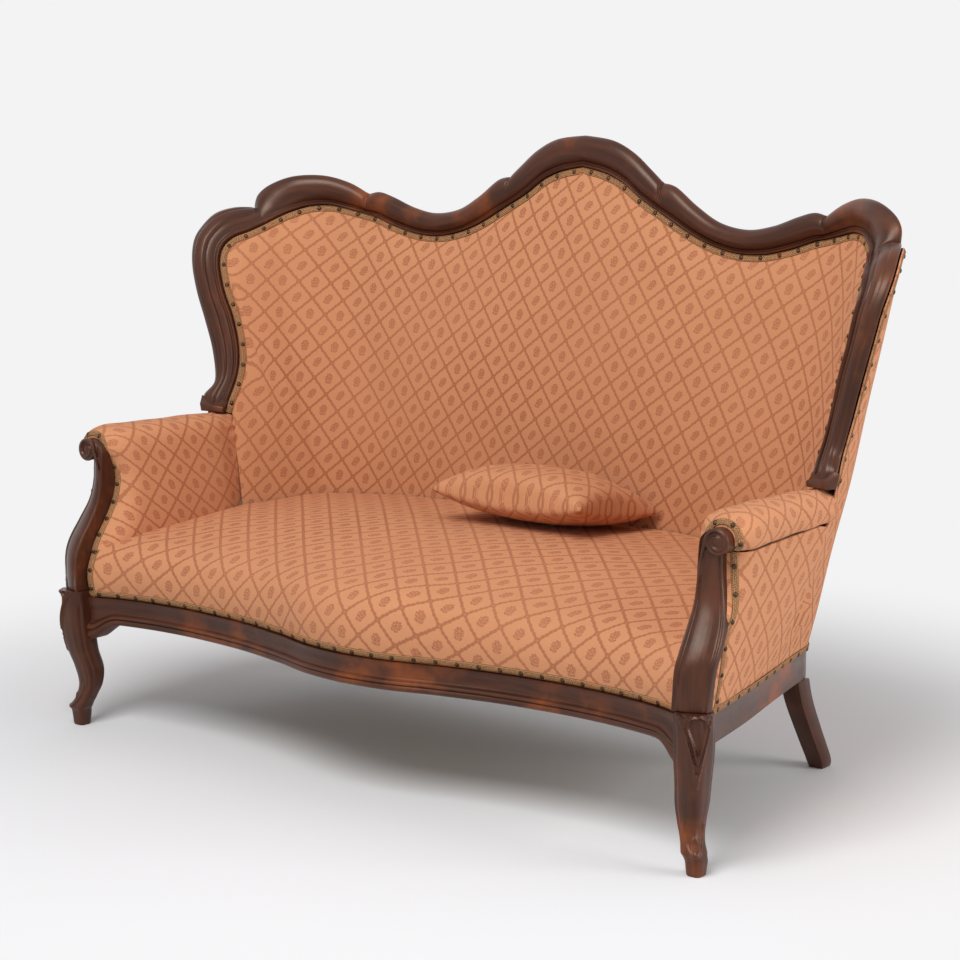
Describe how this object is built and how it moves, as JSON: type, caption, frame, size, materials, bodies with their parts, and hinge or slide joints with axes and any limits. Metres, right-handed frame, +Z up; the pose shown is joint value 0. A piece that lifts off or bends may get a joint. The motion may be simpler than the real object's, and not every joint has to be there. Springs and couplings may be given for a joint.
{
  "type": "cabriole sofa",
  "caption": "Upholstered sofa with a carved show-wood frame, serpentine crest and wings, cabriole front legs, sprung seat and a loose cushion.",
  "frame": {"origin": "floor level, centred under the sofa", "axes": "+X to the viewer's right seen from the front, +Y to the back, +Z up; the front faces -Y"},
  "size_m": [1.6892, 0.776, 1.184],
  "materials": {
    "show_wood": "dark mahogany, satin french polish with worn edges",
    "frame_wood": "plain sawn beech, unpolished",
    "cover_fabric": "woven salmon-pink cover with a lattice and sprig pattern",
    "gimp": "woven gimp braid",
    "stuffing": "stitched horsehair and wadding",
    "webbing": "woven jute webbing",
    "hessian": "plain jute hessian",
    "spring_wire": "coppered steel wire"
  },
  "bodies": {
    "sofa": {"crest_centre": "show_wood", "crest_shoulder_left": "show_wood", "crest_shoulder_right": "show_wood", "crest_ear_left": "show_wood", "crest_ear_right": "show_wood", "wing_moulding_left": "show_wood", "wing_moulding_right": "show_wood", "front_leg_left": "show_wood", "front_leg_right": "show_wood", "arm_post_left": "show_wood", "arm_post_right": "show_wood", "front_rail": "show_wood", "side_rail_left": "show_wood", "side_rail_right": "show_wood", "back_rail": "frame_wood", "back_leg_left": "show_wood", "back_leg_right": "show_wood", "seat_cover": "cover_fabric", "inside_back_cover": "cover_fabric", "outside_back_cover": "cover_fabric", "outside_side_left": "cover_fabric", "outside_side_right": "cover_fabric", "arm_pad_left": "cover_fabric", "arm_pad_right": "cover_fabric", "inside_back_stuffing": "stuffing", "seat_stuffing": "stuffing", "back_stile_left": "frame_wood", "back_stile_right": "frame_wood", "wing_stump_left": "frame_wood", "wing_stump_right": "frame_wood", "arm_rail_left": "frame_wood", "arm_rail_right": "frame_wood", "back_muntins": "frame_wood", "corner_blocks": "frame_wood", "seat_stretcher": "frame_wood", "seat_webbing": "webbing", "seat_springs": "spring_wire", "seat_hessian": "hessian", "back_gimp": "gimp", "seat_gimp": "gimp", "side_gimp_left": "gimp", "side_gimp_right": "gimp", "arm_gimp_left": "gimp", "arm_gimp_right": "gimp"},
    "loose_cushion": {"loose_cushion": "cover_fabric"}
  },
  "joints": [
    {"name": "cushion_lift", "type": "slide", "parent": "sofa", "child": "loose_cushion", "axis": [0, 0, 1], "range_m": [0, 0.8]}
  ]
}
